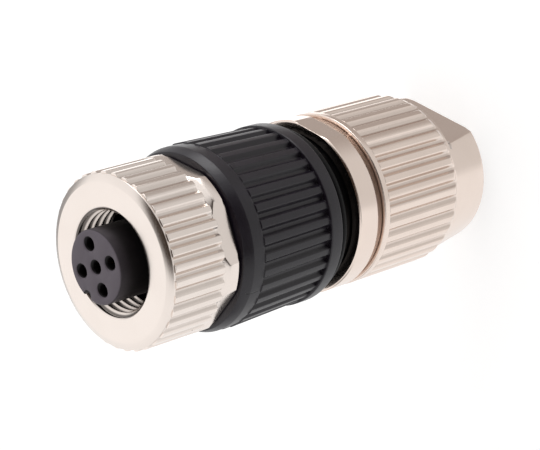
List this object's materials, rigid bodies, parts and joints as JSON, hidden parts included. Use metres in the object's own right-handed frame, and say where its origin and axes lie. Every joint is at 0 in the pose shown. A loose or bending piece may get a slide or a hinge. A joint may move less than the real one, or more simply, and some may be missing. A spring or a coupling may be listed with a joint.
{
  "type": "circular cable connector",
  "caption": "Round screw-locking signal connector for a cable: keyed socket insert in a knurled coupling nut, black grip, screwed rear housing and gland nut.",
  "frame": {"origin": "centre of the gland nut's rear face, where the cable goes in and on which the part stands", "axes": "+Z along the axis towards the mating face; +X towards the first contact's side"},
  "size_m": [0.0208, 0.0208, 0.0523],
  "materials": {
    "nickel": "nickel-plated brass, satin",
    "spring_steel": "bright spring steel",
    "screen_metal": "thin drawn brass, nickel-plated",
    "contact_gold": "gold-plated, smooth",
    "insert_plastic": "black moulded, fine matt grain",
    "insulator": "black moulded",
    "gloss_plastic": "black moulded, glossy",
    "grip_plastic": "black moulded, satin",
    "organiser_plastic": "light grey moulded",
    "clamp_plastic": "light grey moulded",
    "rubber": "black nitrile"
  },
  "bodies": {
    "contact_body": {"contact_housing": "gloss_plastic", "contact_insert": "insert_plastic", "contact_retainer": "insulator", "screening_sleeve": "screen_metal", "insert_seal": "rubber", "body_o_ring": "rubber", "grip_sleeve": "grip_plastic", "contact_1": "contact_gold", "contact_2": "contact_gold", "contact_3": "contact_gold", "contact_4": "contact_gold", "contact_5": "contact_gold"},
    "snap_ring": {"retaining_ring": "spring_steel"},
    "nut": {"coupling_nut": "nickel"},
    "organiser": {"wire_organiser": "organiser_plastic"},
    "housing": {"rear_housing": "nickel", "shield_ring": "screen_metal", "cable_seal": "rubber"},
    "clamp": {"clamp_cage": "clamp_plastic", "thrust_washer": "spring_steel"},
    "gland": {"gland_nut": "nickel"}
  },
  "joints": [
    {"name": "nut_play", "type": "slide", "parent": "contact_body", "child": "snap_ring", "axis": [0, 0, 1], "range_m": [0, 0.001]},
    {"name": "nut_turn", "type": "hinge", "parent": "snap_ring", "child": "nut", "pos_m": [0, 0, 0.0455], "axis": [0, 0, 1], "continuous": true},
    {"name": "organiser_slide", "type": "slide", "parent": "contact_body", "child": "organiser", "axis": [0, 0, 1], "range_m": [-0.0025, 0.0015]},
    {"name": "housing_turn", "type": "hinge", "parent": "organiser", "child": "housing", "pos_m": [0, 0, 0.0187], "axis": [0, 0, 1], "range_deg": [-900, 540]},
    {"name": "clamp_slide", "type": "slide", "parent": "housing", "child": "clamp", "axis": [0, 0, 1], "range_m": [-0.005, 0]},
    {"name": "gland_turn", "type": "hinge", "parent": "clamp", "child": "gland", "pos_m": [0, 0, 0.009], "axis": [0, 0, 1], "range_deg": [-1800, 0]}
  ],
  "couplings": [
    {"joint": "organiser_slide", "follows": "housing_turn", "m_per_rad": 0.00015915},
    {"joint": "clamp_slide", "follows": "gland_turn", "m_per_rad": 0.00015915}
  ]
}
